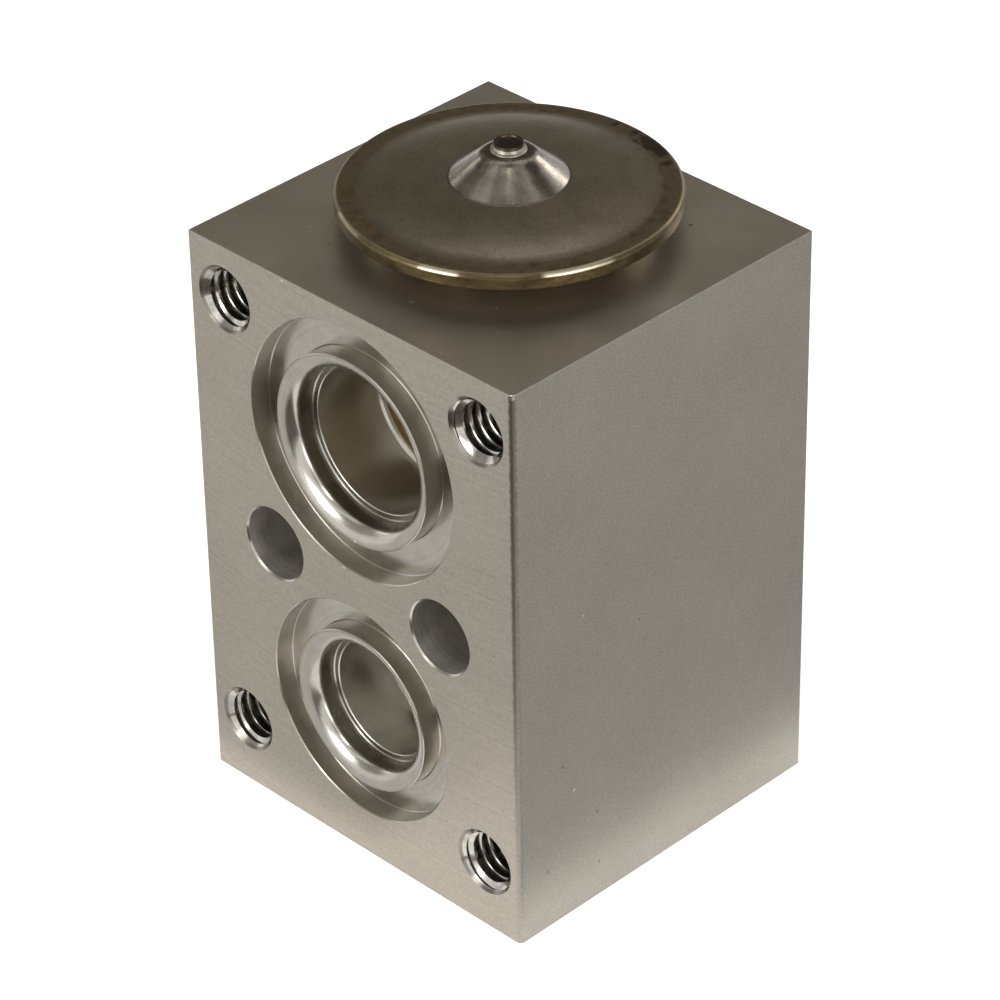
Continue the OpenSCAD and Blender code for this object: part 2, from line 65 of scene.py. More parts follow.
# The studio is a sheet of white paper in a white room, with soft lamps on four sides and above.
# Dark cards stand between the lamps and grey cards lie round the block. Only metal shows them.
class Signal:
    """A value, vector, colour or shader inside a material, which can be used in Python sums."""

    def __init__(self, tree, socket=None):
        self.tree = tree
        self.socket = socket

    def node(self, kind, inputs=None, out=0, stops=None, **settings):
        """Adds a node. Its settings and its ramp's stops come first, and then its sockets."""
        made = self.tree.nodes.new(kind)
        for name, value in settings.items():
            setattr(made, name, value)
        if stops:
            ramp = made.color_ramp.elements
            ramp[0].position = stops[0][0]
            ramp[1].position = stops[-1][0]
            for at, _ in stops[1:-1]:
                ramp.new(at)
            for element, (_, shade) in zip(ramp, stops):
                grey = isinstance(shade, float)
                element.color = (shade, shade, shade, 1) if grey else (*shade, 1)
        for name, value in (inputs or {}).items():
            if isinstance(value, Signal):
                self.tree.links.new(value.socket, made.inputs[name])
            else:
                made.inputs[name].default_value = value
        return Signal(self.tree, made.outputs[out] if len(made.outputs) else None)

    def math(self, operation, *values, clamp=False):
        inputs = dict(enumerate(values))
        return self.node("ShaderNodeMath", inputs, operation=operation, use_clamp=clamp)

    def __add__(self, other):
        return self.math("ADD", self, other)

    def __mul__(self, other):
        return self.math("MULTIPLY", self, other)

    def __sub__(self, other):
        return self.math("SUBTRACT", self, other)

    def __rsub__(self, other):
        return self.math("SUBTRACT", other, self)

    def __truediv__(self, other):
        return self.math("DIVIDE", self, other)

    __radd__ = __add__
    __rmul__ = __mul__


def begin(owner):
    """Empties the node tree of a world or a material and starts its sums."""
    owner.use_nodes = True
    owner.node_tree.nodes.clear()
    return Signal(owner.node_tree)


def shown(path):
    """One for the camera and for what metal and glass mirror, nought for the light in the room."""
    rays = [path.node("ShaderNodeLightPath", out=kind) for kind in
            ("Is Camera Ray", "Is Glossy Ray", "Is Transmission Ray")]
    return path.math("ADD", rays[0] + rays[1], rays[2], clamp=True)


ROOM_LIGHT = 0.75
world = bpy.data.worlds.new("studio_room")
bpy.context.scene.world = world
room = begin(world)
strength = ROOM_LIGHT + shown(room) * (1.0 - ROOM_LIGHT)
white = room.node("ShaderNodeBackground", {"Color": (1, 1, 1, 1), "Strength": strength})
room.node("ShaderNodeOutputWorld", {"Surface": white})


def aim(azimuth, elevation, distance):
    """A place at an angle from -Y towards +X and above the floor, and its turn to the valve."""
    a, e = math.radians(azimuth), math.radians(elevation)
    middle = Vector((0, 0, 0.035))
    out = Vector((math.sin(a) * math.cos(e), -math.cos(a) * math.cos(e), math.sin(e)))
    return middle + out * distance, out.to_track_quat("Z", "Y").to_euler()


# Each lamp's name, azimuth and elevation in degrees, side in metres and power in watts.
LAMP_DISTANCE, LAMP_COLOUR = 0.8, (1.0, 0.985, 0.96)
for name, azimuth, elevation, size, power in (
    ("front_softbox", -4, 20, 0.34, 2.6),
    ("left_softbox", -86, 19, 0.22, 0.30),
    ("right_softbox", 82, 21, 0.34, 1.5),
    ("back_softbox", 178, 23, 0.18, 0.65),
    ("high_softbox", 46, 64, 0.09, 1.1),
):
    place, turn = aim(azimuth, elevation, LAMP_DISTANCE)
    bpy.ops.object.light_add(type="AREA", location=place, rotation=turn)
    lamp = bpy.context.object
    lamp.name = name
    lamp.visible_camera = False
    lamp.data.size = size
    lamp.data.energy = power
    lamp.data.color = LAMP_COLOUR

FLOOR_SIZE, FLOOR_GLOW = 3, 0.40
bpy.ops.mesh.primitive_plane_add(size=FLOOR_SIZE, location=(0, 0, 0))
studio_floor = bpy.context.object
studio_floor.name = "studio_floor"
white_paper = bpy.data.materials.new("white_paper")
paper = begin(white_paper)
lit = paper.node("ShaderNodeBsdfDiffuse", {"Color": (0.8, 0.8, 0.8, 1)})
glow = paper.node("ShaderNodeEmission", {"Strength": shown(paper) * FLOOR_GLOW})
both = paper.node("ShaderNodeAddShader", {0: lit, 1: glow})
paper.node("ShaderNodeOutputMaterial", {"Surface": both})
studio_floor.data.materials.append(white_paper)


def card(name, shade, location, rotation, size):
    """A plain card that only metal and glass show."""
    bpy.ops.mesh.primitive_plane_add(size=1, location=location, rotation=rotation)
    sheet = bpy.context.object
    sheet.name = name
    sheet.scale = (*size, 1)
    sheet.visible_camera = sheet.visible_diffuse = sheet.visible_shadow = False
    paint = bpy.data.materials.new(name)
    tone = begin(paint).node("ShaderNodeEmission", {"Color": (*shade, 1)})
    tone.node("ShaderNodeOutputMaterial", {"Surface": tone})
    sheet.data.materials.append(paint)


# Each standing card's name, shade, azimuth and elevation in degrees, and sides in metres.
CARD_DISTANCE = 0.85
for name, shade, azimuth, elevation, size in (
    ("back_left_card", (0.155, 0.145, 0.12), -133, 31, (0.84, 0.86)),
    ("back_right_card", (0.155, 0.145, 0.125), 136, 36, (0.62, 0.74)),
    ("front_left_card", (0.36, 0.35, 0.33), -46, 33, (0.60, 0.60)),
    ("left_card", (0.33, 0.32, 0.29), -88, 33, (0.48, 0.60)),
    ("camera_card", (0.32, 0.31, 0.29), 45, 40, (0.26, 0.26)),
    ("ceiling_card", (0.44, 0.43, 0.40), 45, 80, (0.70, 0.70)),
):
    place, turn = aim(azimuth, elevation, CARD_DISTANCE)
    card(name, shade, place, turn, size)

# Each lying card's name, shade, middle and sides in metres. They lie just above the floor.
PAPER_LIFT = 0.0005
for name, shade, x, y, size in (
    ("front_paper", (0.72, 0.72, 0.71), -0.170, -0.196, (0.34, 0.35)),
    ("right_paper", (0.48, 0.48, 0.47), 0.2005, 0.15, (0.35, 0.35)),
    ("back_paper", (0.71, 0.71, 0.70), -0.145, 0.204, (0.35, 0.35)),
    ("left_paper", (0.48, 0.48, 0.47), -0.205, 0.00, (0.35, 0.058)),
    ("corner_paper", (0.12, 0.11, 0.10), 0.175, -0.22, (0.35, 0.35)),
):
    card(name, shade, (x, y, PAPER_LIFT), (0, 0, 0), size)


# The block is sawn from an extruded aluminium bar, milled on its faces and then drilled, bored
# and tapped. Its outside edges are only broken, and its ports are turned to a bright finish.
MM = 0.001
BLOCK_W, BLOCK_D, BLOCK_H = 40.0, 37.4, 58.2
CORNER_ROUND, EDGE_BREAK = 0.55, 0.12


def finish_start(name):
    """A new material, and the place on the piece in millimetres."""
    material = bpy.data.materials.new(name)
    place = begin(material).node("ShaderNodeTexCoord", out="Object")
    inputs = {0: place, "Scale": 1 / MM}
    return material, place.node("ShaderNodeVectorMath", inputs, operation="SCALE")


def finish_end(material, colour, roughness, metallic, height, relief=0.01):
    """Gives the material a colour, a roughness and a relief of so many millimetres."""
    inputs = {"Height": height, "Distance": relief * MM, "Strength": 1.0}
    bump = height.node("ShaderNodeBump", inputs)
    skin = bump.node("ShaderNodeBsdfPrincipled", {
        "Base Color": colour, "Roughness": roughness, "Metallic": metallic, "Normal": bump,
    })
    skin.node("ShaderNodeOutputMaterial", {"Surface": skin})
    return material


def stretch(place, x, y, z):
    return place.node("ShaderNodeVectorMath", {0: place, 1: (x, y, z)}, operation="MULTIPLY")


def grain(place, scale, detail=4.0, rough=0.6):
    inputs = {"Vector": place, "Scale": scale, "Detail": detail, "Roughness": rough}
    return place.node("ShaderNodeTexNoise", inputs)


def lines(distance, scale, detail=3.0):
    """Cutter lines that follow one distance, such as the one from a port's axis."""
    inputs = {"W": distance, "Scale": scale, "Detail": detail}
    return distance.node("ShaderNodeTexNoise", inputs, noise_dimensions="1D")


def blend_colour(mask, low, high):
    return mask.node("ShaderNodeMix", {0: mask, 6: low, 7: high}, out=2, data_type="RGBA")


def larger(one, other):
    return one.math("MAXIMUM", one, other)


def ramp(value, *stops):
    return value.node("ShaderNodeValToRGB", {0: value}, stops=stops)


def shades(tone, colour, spread):
    """The colour, darker where the tone is low and lighter where it is high."""
    low, high = ([shade * (1 + part) for shade in colour] for part in (-spread, spread))
    return ramp(tone, (0.25, low), (0.75, high))


def coordinate(place, letter):
    return place.node("ShaderNodeSeparateXYZ", {0: place}, out=letter)


def from_axis(place, centre, flat):
    """Distance from an axis through centre, in mm. flat holds 0 for the axis's direction."""
    away = place.node("ShaderNodeVectorMath", {0: place, 1: centre}, operation="SUBTRACT")
    away = stretch(away, *flat)
    return place.node("ShaderNodeVectorMath", {0: away}, out="Value", operation="LENGTH")


def marks(place, spots, wobble):
    """One in the middle of each small mark, given as x, y, z and radius, and nought outside."""
    total = None
    for x, y, z, radius in spots:
        away = from_axis(place, (x, y, z), (1, 1, 1)) / radius
        one = wobble.math("SUBTRACT", 1.5 - away, wobble, clamp=True)
        total = one if total is None else total.math("ADD", total, one, clamp=True)
    return total


def specks(place, scale, size, share):
    """Small scattered specks: size is their radius against the mesh of 1 / scale mm."""
    cell = place.node("ShaderNodeTexVoronoi", {"Vector": place, "Scale": scale}, out="Distance")
    tint = place.node("ShaderNodeTexVoronoi", {"Vector": place, "Scale": scale}, out="Color")
    chosen = tint.math("LESS_THAN", tint, share)
    return cell.math("SUBTRACT", 1.0, cell / size, clamp=True) * chosen


def corner_painted_shade(place):
    """Painted shade: a dark, rough band along the front right edge, which is wider at its upper
    end.
    """
    wander = (grain(place, 1.6, 4.0, 0.75) - 0.5) * 0.6
    away = from_axis(place, (19.85, -18.55, 0), (1, 1, 0))
    near = ramp(away + wander, (0.22, 1.0), (0.42, 0.0))
    return near * ramp(coordinate(place, "Z") / 60, (0.05, 0.15), (0.5, 0.65), (0.9, 0.95))


def milled_face():
    """The front and the back, with the faint arcs of a wide cutter and a few nicks."""
    material, place = finish_start("milled_face")
    sweep = from_axis(place, (2, 0, 160), (1, 0, 1))
    cloud = grain(place, 0.10, 3.0)
    cut = lines(sweep + grain(place, 0.05, 1.0) * 0.8, 2.6, 5.0)
    fine = grain(place, 5.0, 4.0, 0.8)
    tone = cloud * 0.12 + cut * 0.17 + fine * 0.71
    colour = shades(tone, (0.42, 0.38, 0.325), 0.30)
    dark = marks(place, (
        (-7.4, -18.7, 8.3, 0.55), (-16.1, -18.7, 55.4, 0.2), (6.2, -18.7, 1.4, 0.12),
        (17.2, -18.7, 30.5, 0.13), (16.4, -18.7, 21.0, 0.10), (-17.9, -18.7, 24.5, 0.12),
    ), fine)
    dark = larger(dark, specks(place, 0.45, 0.06, 0.12))
    light = marks(place, (
        (-1.45, -18.7, 31.0, 0.22), (0.63, -18.7, 31.6, 0.25), (2.1, -18.7, 33.2, 0.2),
        (-7.9, -18.7, 57.9, 0.18), (0.13, -18.7, 34.5, 0.3), (8.6, -18.7, 38.8, 0.25),
        (19.9, -18.6, 57.9, 0.3),
    ), fine)
    # Painted shade along the front right edge joins the dark nicks and specks.
    dark = larger(dark, corner_painted_shade(place))
    colour = blend_colour(dark * 0.8, colour, (0.08, 0.07, 0.06, 1))
    colour = blend_colour(light * 0.9, colour, (0.9, 0.87, 0.82, 1))
    rough = 0.40 + cloud * 0.08 + fine * 0.06 - light * 0.2
    return finish_end(material, colour, rough, 1.0, cut * 0.25 + fine * 0.75 - dark, 0.012)


def sawn_face():
    """The two sides, evenly grained, with small pits."""
    material, place = finish_start("sawn_face")
    cloud = grain(place, 0.09, 3.0)
    middle = grain(place, 0.8, 4.0, 0.6)
    fine = grain(place, 4.5, 4.0, 0.8)
    tone = cloud * 0.12 + middle * 0.10 + fine * 0.78
    colour = shades(tone, (0.425, 0.395, 0.345), 0.38)
    dark = marks(place, (
        (20, -3.3, 27.9, 0.16), (20, -2.4, 25.4, 0.14), (20, -4.7, 20.5, 0.16),
        (20, -13.1, 16.9, 0.22), (20, -8.7, 9.6, 0.22), (20, -8.5, 3.8, 0.2),
        (20, -15.1, 6.3, 0.2),
    ), fine)
    dark = larger(dark, specks(place, 0.40, 0.06, 0.10))
    # Painted shade along the front right edge joins the dark pits and specks.
    dark = larger(dark, corner_painted_shade(place))
    light = marks(place, (
        (20, -10.4, 31.9, 0.16), (20, -11.7, 13.6, 0.25), (19.9, -18.5, 57.9, 0.3),
    ), fine)
    colour = blend_colour(dark * 0.7, colour, (0.10, 0.09, 0.08, 1))
    colour = blend_colour(light * 0.8, colour, (0.9, 0.87, 0.82, 1))
    height = fine * 0.8 + middle * 0.2 - dark
    return finish_end(material, colour, 0.44 + fine * 0.08, 1.0, height, 0.012)


def top_face():
    """The top and the base, lighter, with the arcs of a cutter that came from one corner."""
    material, place = finish_start("top_face")
    cloud = grain(place, 0.12, 4.0)
    fine = grain(place, 5.0, 4.0, 0.8)
    cut = lines(from_axis(place, (-60, 90, 0), (1, 1, 0)), 3.0, 4.0)
    tone = cloud * 0.30 + fine * 0.62 + cut * 0.08
    colour = shades(tone, (0.495, 0.45, 0.385), 0.36)
    dark = marks(place, ((11.6, 12.1, 58.2, 0.3), (-9.0, -12.0, 58.2, 0.14)), fine)
    dark = larger(dark, specks(place, 0.40, 0.06, 0.10))
    light = marks(place, (
        (3.1, -13.8, 58.2, 0.3), (9.1, -9.5, 58.2, 0.2), (-12.5, -11.0, 58.2, 0.15),
    ), fine)
    colour = blend_colour(dark * 0.85, colour, (0.03, 0.025, 0.02, 1))
    colour = blend_colour(light, colour, (0.95, 0.93, 0.9, 1))
    height = fine * 0.9 + cut * 0.1 - dark
    return finish_end(material, colour, 0.33 + cloud * 0.08, 1.0, height, 0.012)


finishes = {"milled": milled_face(), "sawn": sawn_face(), "top": top_face()}


def pick(obj):
    """Selects the object alone and makes it active."""
    bpy.ops.object.select_all(action="DESELECT")
    obj.select_set(True)
    bpy.context.view_layer.objects.active = obj


def edit(obj):
    pick(obj)
    bpy.ops.object.mode_set(mode="EDIT")


def settle(obj):
    """Leaves the object at the origin, with its place and turn in its mesh."""
    pick(obj)
    bpy.ops.object.transform_apply(location=True, rotation=True, scale=True)
    return obj


def coat(obj, *materials):
    """Gives the object these materials, with the first on all its faces."""
    obj.data.materials.clear()
    for material in materials:
        obj.data.materials.append(material)
    return obj


bpy.ops.object.select_all(action="DESELECT")
bpy.ops.mesh.primitive_cube_add(
    size=1, location=(0, 0, BLOCK_H / 2 * MM), scale=(BLOCK_W * MM, BLOCK_D * MM, BLOCK_H * MM)
)
block = settle(bpy.context.object)
block.name = "block"
edit(block)
bpy.ops.mesh.select_mode(type="EDGE")
bpy.ops.mesh.select_all(action="DESELECT")
bpy.ops.object.mode_set(mode="OBJECT")
for edge in block.data.edges:
    ends = [block.data.vertices[i].co for i in edge.vertices]
    edge.select = all(end.x > 0 and end.y < 0 for end in ends)
bpy.ops.object.mode_set(mode="EDIT")
bpy.ops.mesh.bevel(offset=CORNER_ROUND * MM, segments=4, affect="EDGES")
bpy.ops.mesh.select_all(action="DESELECT")
bpy.ops.mesh.edges_select_sharp(sharpness=math.radians(60))
bpy.ops.mesh.bevel(offset=EDGE_BREAK * MM, segments=3, affect="EDGES")
bpy.ops.mesh.select_mode(type="VERT")
bpy.ops.object.mode_set(mode="OBJECT")
coat(block, finishes["milled"], finishes["sawn"], finishes["top"])
for face in block.data.polygons:
    n = face.normal
    face.material_index = 1 if abs(n.x) > 0.7 else 2 if abs(n.z) > 0.7 else 0

# Each port is turned into a face: a ring recess round a standing collar, a rounded lead-in, a
# seal bore, a ledge and a smaller bore. Front and back ports lie opposite each other.
OUTSIDE = -1.0  # tools are drawn along +Z from the face at 0, and start this far outside it
FRONT, BACK = -1, 1
SUCTION_Z, LIQUID_Z = 43.7, 15.9
RECESS_DEPTH, LEDGE_DEPTH, SEAL_STEP, LIP = 2.05, 2.8, 0.6, 0.18


def turned_face():
    """The bright rings and collars of the ports, with turning lines about the nearer port."""
    material, place = finish_start("turned_face")
    suction = from_axis(place, (0, 0, SUCTION_Z), (1, 0, 1))
    liquid = from_axis(place, (0, 0, LIQUID_Z), (1, 0, 1))
    rings = lines(suction.math("MINIMUM", suction, liquid), 3.0)
    turns = lines(coordinate(place, "Y"), 3.0)
    cloud = grain(place, 0.5, 4.0)
    tone = cloud * 0.5 + rings * 0.25 + turns * 0.25
    colour = shades(tone, (0.50, 0.472, 0.42), 0.20)
    dark = marks(place, ((-7.2, -16.9, 35.0, 0.35), (-5.5, -16.65, 33.6, 0.2)), cloud)
    colour = blend_colour(dark * 0.8, colour, (0.06, 0.05, 0.04, 1))
    height = rings * 0.5 + turns * 0.5 - dark
    return finish_end(material, colour, 0.17 + cloud * 0.10, 1.0, height, 0.004)


def turned_painted_shade(name, colour):
    """Turned metal in a darker colour, painted shade for ledges and seal bores, which mirror
    darker surroundings.
    """
    material, place = finish_start(name)
    cloud = grain(place, 0.6, 3.0)
    turns = lines(coordinate(place, "Y"), 3.0)
    colour = shades(cloud, colour, 0.2)
    height = cloud * 0.6 + turns * 0.4
    return finish_end(material, colour, 0.21 + cloud * 0.1, 1.0, height, 0.004)


def bored_wall():
    """The smooth bores of the ports and about the valve's axis."""
    material, place = finish_start("bored_wall")
    turns = lines(coordinate(place, "Y"), 4.0, 4.0)
    cloud = grain(stretch(place, 1, 0.5, 1), 0.30, 1.0)
    fine = grain(place, 3.0, 4.0, 0.75)
    colour = shades(cloud * 0.5 + fine * 0.5, (0.775, 0.75, 0.685), 0.18)
    height = turns * 0.5 + fine * 0.5
    return finish_end(material, colour, 0.28 + fine * 0.04, 1.0, height, 0.003)


finishes["turned"] = turned_face()
# Ledges and seal bores get painted shade: darker copies of the turned metal.
finishes["ledge"] = turned_painted_shade("ledge_face", (0.30, 0.28, 0.245))
finishes["seal"] = turned_painted_shade("seal_wall", (0.34, 0.32, 0.275))
finishes["bored"] = bored_wall()


def draw(name, profile, centre):
    """A line through (radius, height) pairs, in mm, beside a vertical axis, in edit mode."""
    bpy.ops.object.select_all(action="DESELECT")
    bpy.ops.mesh.primitive_plane_add(size=MM, location=(0, 0, 0))
    obj = bpy.context.object
    obj.name = name
    edit(obj)
    bpy.ops.mesh.select_all(action="SELECT")
    bpy.ops.mesh.merge(type="CENTER")
    radius, height = profile[0]
    start = ((centre[0] + radius) * MM, centre[1] * MM, height * MM)
    bpy.ops.transform.translate(value=start)
    for (r0, z0), (r1, z1) in zip(profile, profile[1:]):
        bpy.ops.mesh.extrude_region_move(
            TRANSFORM_OT_translate={"value": ((r1 - r0) * MM, 0, (z1 - z0) * MM)}
        )
    bpy.ops.mesh.select_all(action="SELECT")
    return obj


def turned(name, profile, centre=(0, 0), steps=192):
    """A solid turned about a vertical axis from (radius, height) pairs in millimetres."""
    obj = draw(name, profile, centre)
    bpy.ops.mesh.spin(
        steps=steps, angle=math.tau, center=(centre[0] * MM, centre[1] * MM, 0), axis=(0, 0, 1)
    )
    bpy.ops.mesh.select_all(action="SELECT")
    bpy.ops.mesh.remove_doubles(threshold=0.002 * MM)
    bpy.ops.mesh.normals_make_consistent(inside=False)
    bpy.ops.object.mode_set(mode="OBJECT")
    return obj


def into_face(tool, x, z, side):
    """Points a tool that was drawn along +Z into the front or back face."""
    tool.rotation_euler = (side * math.pi / 2, 0, 0)
    tool.location = (x * MM, side * BLOCK_D / 2 * MM, z * MM)
    return settle(tool)


def join(pieces):
    pick(pieces[0])
    for piece in pieces:
        piece.select_set(True)
    bpy.ops.object.join()
    return bpy.context.object


def cut(body, tool):
    """Takes the tool's shape and its finish out of the body, and puts the tool away."""
    change = body.modifiers.new("cut", "BOOLEAN")
    change.object = tool
    change.operation = "DIFFERENCE"
    change.solver = "MANIFOLD"
    change.material_mode = "TRANSFER"
    bpy.context.view_layer.objects.active = body
    bpy.ops.object.modifier_apply(modifier=change.name)
    bpy.data.objects.remove(tool)


def ring_tool(collar, recess):
    """Leaves a collar standing in a ring recess, with broken edges and small root rounds."""
    brim, lip, root = recess + 0.1, collar - 0.06, 0.08
    return coat(turned("ring_tool", [
        (collar, OUTSIDE), (brim, OUTSIDE), (brim, 0), (recess, 0.1),
        (recess, RECESS_DEPTH - root), (recess - root, RECESS_DEPTH),
        (collar + root, RECESS_DEPTH), (collar, RECESS_DEPTH - root),
        (collar, 0.06), (lip, 0), (lip, OUTSIDE), (collar, OUTSIDE),
    ]), finishes["turned"])


def bore_tool(bore, floor, collar):
    """Cuts the lead-in, which is part of an ellipse, the seal bore, the ledge and the bore."""
    seal = bore + SEAL_STEP
    width = (collar - seal - LIP) / 0.577  # 1 - cos 65, so that the lip is left on the collar
    angles = [math.radians(245 - 65 * i / 16) for i in range(17)]
    lead_in = [(seal + width * (1 + math.cos(a)), 1.45 * (0.89 + math.sin(a))) for a in angles]
    tool = turned("bore_tool", [(0, OUTSIDE), (lead_in[0][0], OUTSIDE)] + lead_in + [
        (seal, LEDGE_DEPTH - 0.1), (seal - 0.1, LEDGE_DEPTH),
        (bore + 0.07, LEDGE_DEPTH), (bore, LEDGE_DEPTH + 0.07),
        (bore, floor - 0.22), (bore - 0.18, floor), (0, floor),
    ])
    slots = ("turned", "ledge", "bored", "seal")
    coat(tool, *(finishes[slot] for slot in slots))
    for face in tool.data.polygons:
        depth = face.center.z / MM
        if lead_in[-1][1] < depth < LEDGE_DEPTH - 0.1:
            slot = "seal"
        elif LEDGE_DEPTH - 0.01 < depth < LEDGE_DEPTH + 0.02 or depth > floor - 0.01:
            slot = "ledge"
        elif depth < LEDGE_DEPTH or depth > floor - 0.2:
            slot = "turned"
        else:
            slot = "bored"
        face.material_index = slots.index(slot)
    return tool


# Each port's height and face, bore radius and depth, and collar and recess radius.
tools = []
for z, side, bore, floor, collar, recess in (
    (SUCTION_Z, FRONT, 7.15, 10.2, 9.4, 12.62),
    (SUCTION_Z, BACK, 7.15, 7.6, 9.4, 12.62),
    (LIQUID_Z, FRONT, 5.8, 9.0, 8.15, 11.15),
    (LIQUID_Z, BACK, 5.8, 9.0, 8.15, 11.15),
):
    tools.append(into_face(ring_tool(collar, recess), 0, z, side))
    tools.append(into_face(bore_tool(bore, floor, collar), 0, z, side))

# Two holes let the clamping bolts through the block. They are drilled from the front, and their
# edges are lightly countersunk on both faces.
THROUGH_X, THROUGH_Z, THROUGH_R, SINK = 10.55, 29.2, 3.6, 0.16


def drilled_wall():
    """A rougher wall, with the faint turns of a drill."""
    material, place = finish_start("drilled_wall")
    turns = lines(coordinate(place, "Y") + grain(place, 0.3, 1.0) * 0.3, 4.0, 4.0)
    cloud = grain(place, 0.35, 4.0)
    colour = shades(cloud * 0.7 + turns * 0.3, (0.63, 0.605, 0.555), 0.40)
    return finish_end(material, colour, 0.34 + cloud * 0.08, 0.9, turns, 0.012)


finishes["drilled"] = drilled_wall()
for x in (-THROUGH_X, THROUGH_X):
    drill = coat(turned("through", [
        (0, OUTSIDE), (THROUGH_R + SINK, OUTSIDE), (THROUGH_R + SINK, 0), (THROUGH_R, SINK),
        (THROUGH_R, BLOCK_D - SINK), (THROUGH_R + SINK, BLOCK_D),
        (THROUGH_R + SINK, BLOCK_D - OUTSIDE), (0, BLOCK_D - OUTSIDE),
    ], steps=96), finishes["drilled"], finishes["turned"])
    for face in drill.data.polygons:
        face.material_index = 0 if SINK < face.center.z / MM < BLOCK_D - SINK else 1
    tools.append(into_face(drill, x, THROUGH_Z, FRONT))

# Four blind holes in the corners are tapped for the flange's screws. One tap is made, with the
# helical groove that leaves the thread standing, and copied for each hole.
THREAD_R, MOUTH, TAP_DEPTH, PITCH = 3.0, 0.3, 14.0, 1.0


def thread_face():
    """The thread's flanks, bright and nearly smooth."""
    material, place = finish_start("thread_face")
    cloud = grain(place, 1.2, 4.0)
    colour = shades(cloud, (0.56, 0.53, 0.48), 0.3)
    return finish_end(material, colour, 0.12 + cloud * 0.10, 1.0, cloud, 0.004)


finishes["thread"] = thread_face()
tap = coat(turned("tap", [
    (0, OUTSIDE), (THREAD_R + MOUTH, OUTSIDE), (THREAD_R + MOUTH, 0), (THREAD_R, MOUTH),
    (THREAD_R, TAP_DEPTH), (0, TAP_DEPTH + 1.7),
], steps=96), finishes["thread"], finishes["ledge"])
for face in tap.data.polygons:
    face.material_index = 1 if face.center.z < MOUTH * MM else 0

# The thread's profile is swept up a helix and closed at both ends. A cone clears its first turn.
ridge = draw("ridge", [(3.04, -1.45), (2.46, -1.115), (2.46, -0.885), (3.04, -0.55)], (0, 0))
bpy.ops.mesh.edge_face_add()
bpy.ops.object.mode_set(mode="OBJECT")
sweep = ridge.modifiers.new("thread", "SCREW")
sweep.screw_offset = PITCH * MM
sweep.iterations = int(TAP_DEPTH / PITCH)
sweep.steps = sweep.render_steps = 64
sweep.use_merge_vertices = True
sweep.merge_threshold = 0.001 * MM
sweep.use_normal_calculate = True
bpy.ops.object.modifier_apply(modifier=sweep.name)
edit(ridge)
bpy.ops.mesh.select_all(action="DESELECT")
bpy.ops.mesh.select_mode(type="EDGE")
bpy.ops.mesh.select_non_manifold(extend=False)
bpy.ops.mesh.edge_face_add()
bpy.ops.mesh.select_mode(type="VERT")
bpy.ops.mesh.select_all(action="SELECT")
bpy.ops.mesh.normals_make_consistent(inside=False)
bpy.ops.object.mode_set(mode="OBJECT")
coat(ridge, finishes["thread"])
cut(ridge, settle(turned("mouth", [(0, -3), (6.25, -3), (2.35, 0.9), (0, 0.9)], steps=72)))
cut(tap, ridge)

# Each hole's place on the front face, and the turn of its thread in degrees.
for x, z, turn in ((-15.6, 52.8, 0), (15.6, 52.8, 200), (-15.6, 7.1, 30), (15.6, 7.1, 120)):
    pick(tap)
    bpy.ops.object.duplicate()
    one = bpy.context.object
    one.rotation_euler = (0, 0, math.radians(turn))
    tools.append(into_face(settle(one), x, z, FRONT))
bpy.data.objects.remove(tap)
cut(block, join(tools))

# The suction passage crosses the block, and two drillings lead from the liquid ports to the
# chambers below and above the seat. The stepped bore about the valve's axis takes all the rest.
DRILL_START = 5.0  # inside the ports' bores
AXIS_Y = 1.3
VALVE_AXIS = (0, AXIS_Y)


def passage_wall():
    """The crossing passage and drillings, which oil and heat have browned."""
    material, place = finish_start("passage_wall")
    turns = lines(coordinate(place, "Y"), 3.0, 4.0)
    cloud = grain(place, 0.5, 3.0)
    colour = shades(cloud, (0.34, 0.25, 0.13), 0.4)
    return finish_end(material, colour, 0.28 + cloud * 0.1, 1.0, turns, 0.004)


finishes["passage"] = passage_wall()
tools = []
for name, radius, end, side, z in (
    ("passage", 6.5, BLOCK_D - DRILL_START, FRONT, SUCTION_Z),
    ("inlet", 2.2, 20.0, FRONT, 12.4),
    ("outlet", 2.3, 17.4, BACK, 19.3),
):
    profile = [(0, DRILL_START), (radius, DRILL_START), (radius, end), (0, end)]
    drill = coat(turned(name, profile, steps=96), finishes["passage"])
    tools.append(into_face(drill, 0, z, side))
cut(block, join(tools))
stack = turned("stack", [
    (0, OUTSIDE), (6.0, OUTSIDE), (6.0, 6.0),  # adjusting screw
    (5.0, 6.0), (5.0, 15.0),  # ball chamber
    (4.02, 15.0), (4.02, 17.0),  # seat ring
    (3.2, 17.0), (3.2, 22.5),  # chamber above the seat
    (1.24, 22.5), (1.24, 24.2),  # push pin
    (2.84, 24.2), (2.84, 31.0),  # sensing rod
    (4.63, 31.0), (4.63, SUCTION_Z),  # rod seal and its ring, open to the passage
    (3.96, SUCTION_Z), (3.96, 51.9),  # sleeve of the sensing rod
    (8.02, 51.9), (8.02, 56.5),  # neck of the power head
    (9.76, 56.5), (9.76, BLOCK_H + 1), (0, BLOCK_H + 1),  # head seal
], VALVE_AXIS, 96)
cut(block, settle(coat(stack, finishes["bored"])))

edit(block)
bpy.ops.mesh.select_all(action="SELECT")
bpy.ops.mesh.remove_doubles(threshold=0.0005 * MM)
bpy.ops.object.mode_set(mode="OBJECT")
bpy.ops.object.shade_smooth_by_angle(angle=math.radians(24))
flat = block.modifiers.new("even_faces", "WEIGHTED_NORMAL")
flat.keep_sharp = True
bpy.ops.object.modifier_apply(modifier=flat.name)
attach(block, "valve_body")
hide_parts("valve_block")


